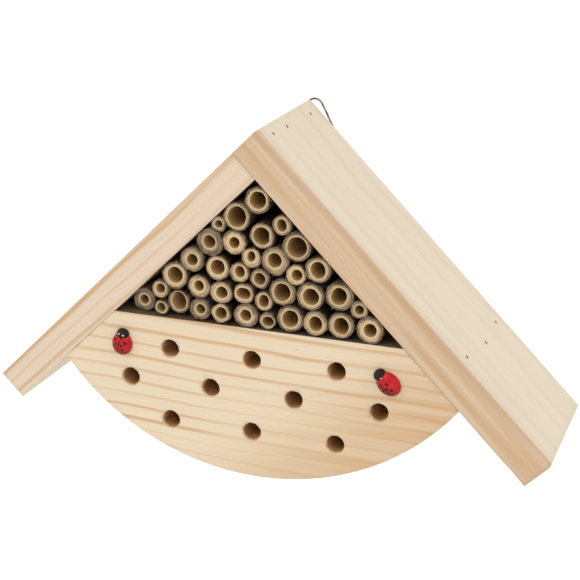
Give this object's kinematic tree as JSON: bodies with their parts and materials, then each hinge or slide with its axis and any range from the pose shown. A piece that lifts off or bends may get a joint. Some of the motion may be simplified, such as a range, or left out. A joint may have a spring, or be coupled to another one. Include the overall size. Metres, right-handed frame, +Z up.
{
  "type": "insect hotel",
  "caption": "Gabled wooden insect hotel: a pine roof over a round-bellied drilled block, bamboo nest tubes in the gable, ladybird ornaments and a hinged wire ring that hangs it on a wall.",
  "frame": {"origin": "on the wall plane, at the middle of the drilled block's back face", "axes": "+Y points back into the wall that the house hangs on, -Y is the front that the insects use, +Z is up and +X is right as seen from the front"},
  "size_m": [0.2696, 0.0813, 0.1658],
  "materials": {
    "pine_board": "planed pale pine, straight grain, unvarnished",
    "pine_block": "planed pine with near-level tan growth rings",
    "back_panel": "thin plywood, unfinished",
    "bamboo": "sawn bamboo, pale cut ends with fibrous grey-brown bark",
    "ladybird_paint": "glossy red, black and white paint",
    "brad_steel": "dull dark steel",
    "hanger_wire": "aged brass wire",
    "hanger_strap": "aged brass strip",
    "hanger_screw": "zinc-plated steel"
  },
  "bodies": {
    "house": {"back_panel": "back_panel", "bamboo_tube_01": "bamboo", "bamboo_tube_02": "bamboo", "bamboo_tube_03": "bamboo", "bamboo_tube_04": "bamboo", "bamboo_tube_05": "bamboo", "bamboo_tube_06": "bamboo", "bamboo_tube_07": "bamboo", "bamboo_tube_08": "bamboo", "bamboo_tube_09": "bamboo", "bamboo_tube_10": "bamboo", "bamboo_tube_11": "bamboo", "bamboo_tube_12": "bamboo", "bamboo_tube_13": "bamboo", "bamboo_tube_14": "bamboo", "bamboo_tube_15": "bamboo", "bamboo_tube_16": "bamboo", "bamboo_tube_17": "bamboo", "bamboo_tube_18": "bamboo", "bamboo_tube_19": "bamboo", "bamboo_tube_20": "bamboo", "bamboo_tube_21": "bamboo", "bamboo_tube_22": "bamboo", "bamboo_tube_23": "bamboo", "bamboo_tube_24": "bamboo", "bamboo_tube_25": "bamboo", "bamboo_tube_26": "bamboo", "bamboo_tube_27": "bamboo", "bamboo_tube_28": "bamboo", "bamboo_tube_29": "bamboo", "bamboo_tube_30": "bamboo", "bamboo_tube_31": "bamboo", "bamboo_tube_32": "bamboo", "bamboo_tube_33": "bamboo", "bamboo_tube_34": "bamboo", "bamboo_tube_35": "bamboo", "bamboo_tube_36": "bamboo", "bamboo_tube_37": "bamboo", "drilled_block": "pine_block", "hanger_screw": "hanger_screw", "hanger_strap": "hanger_strap", "ladybird_left": "ladybird_paint", "ladybird_right": "ladybird_paint", "left_block_brad_1": "brad_steel", "left_block_brad_2": "brad_steel", "left_block_brad_3": "brad_steel", "left_roof_board": "pine_board", "ridge_brad_1": "brad_steel", "ridge_brad_2": "brad_steel", "ridge_brad_3": "brad_steel", "right_block_brad_1": "brad_steel", "right_block_brad_2": "brad_steel", "right_block_brad_3": "brad_steel", "right_roof_board": "pine_board"},
    "hanger": {"hanger_ring": "hanger_wire"}
  },
  "joints": [
    {"name": "ring_swing", "type": "hinge", "parent": "house", "child": "hanger", "pos_m": [0.0022, 0.0015, 0.112], "axis": [-1, 0, 0], "range_deg": [0, 175]}
  ]
}
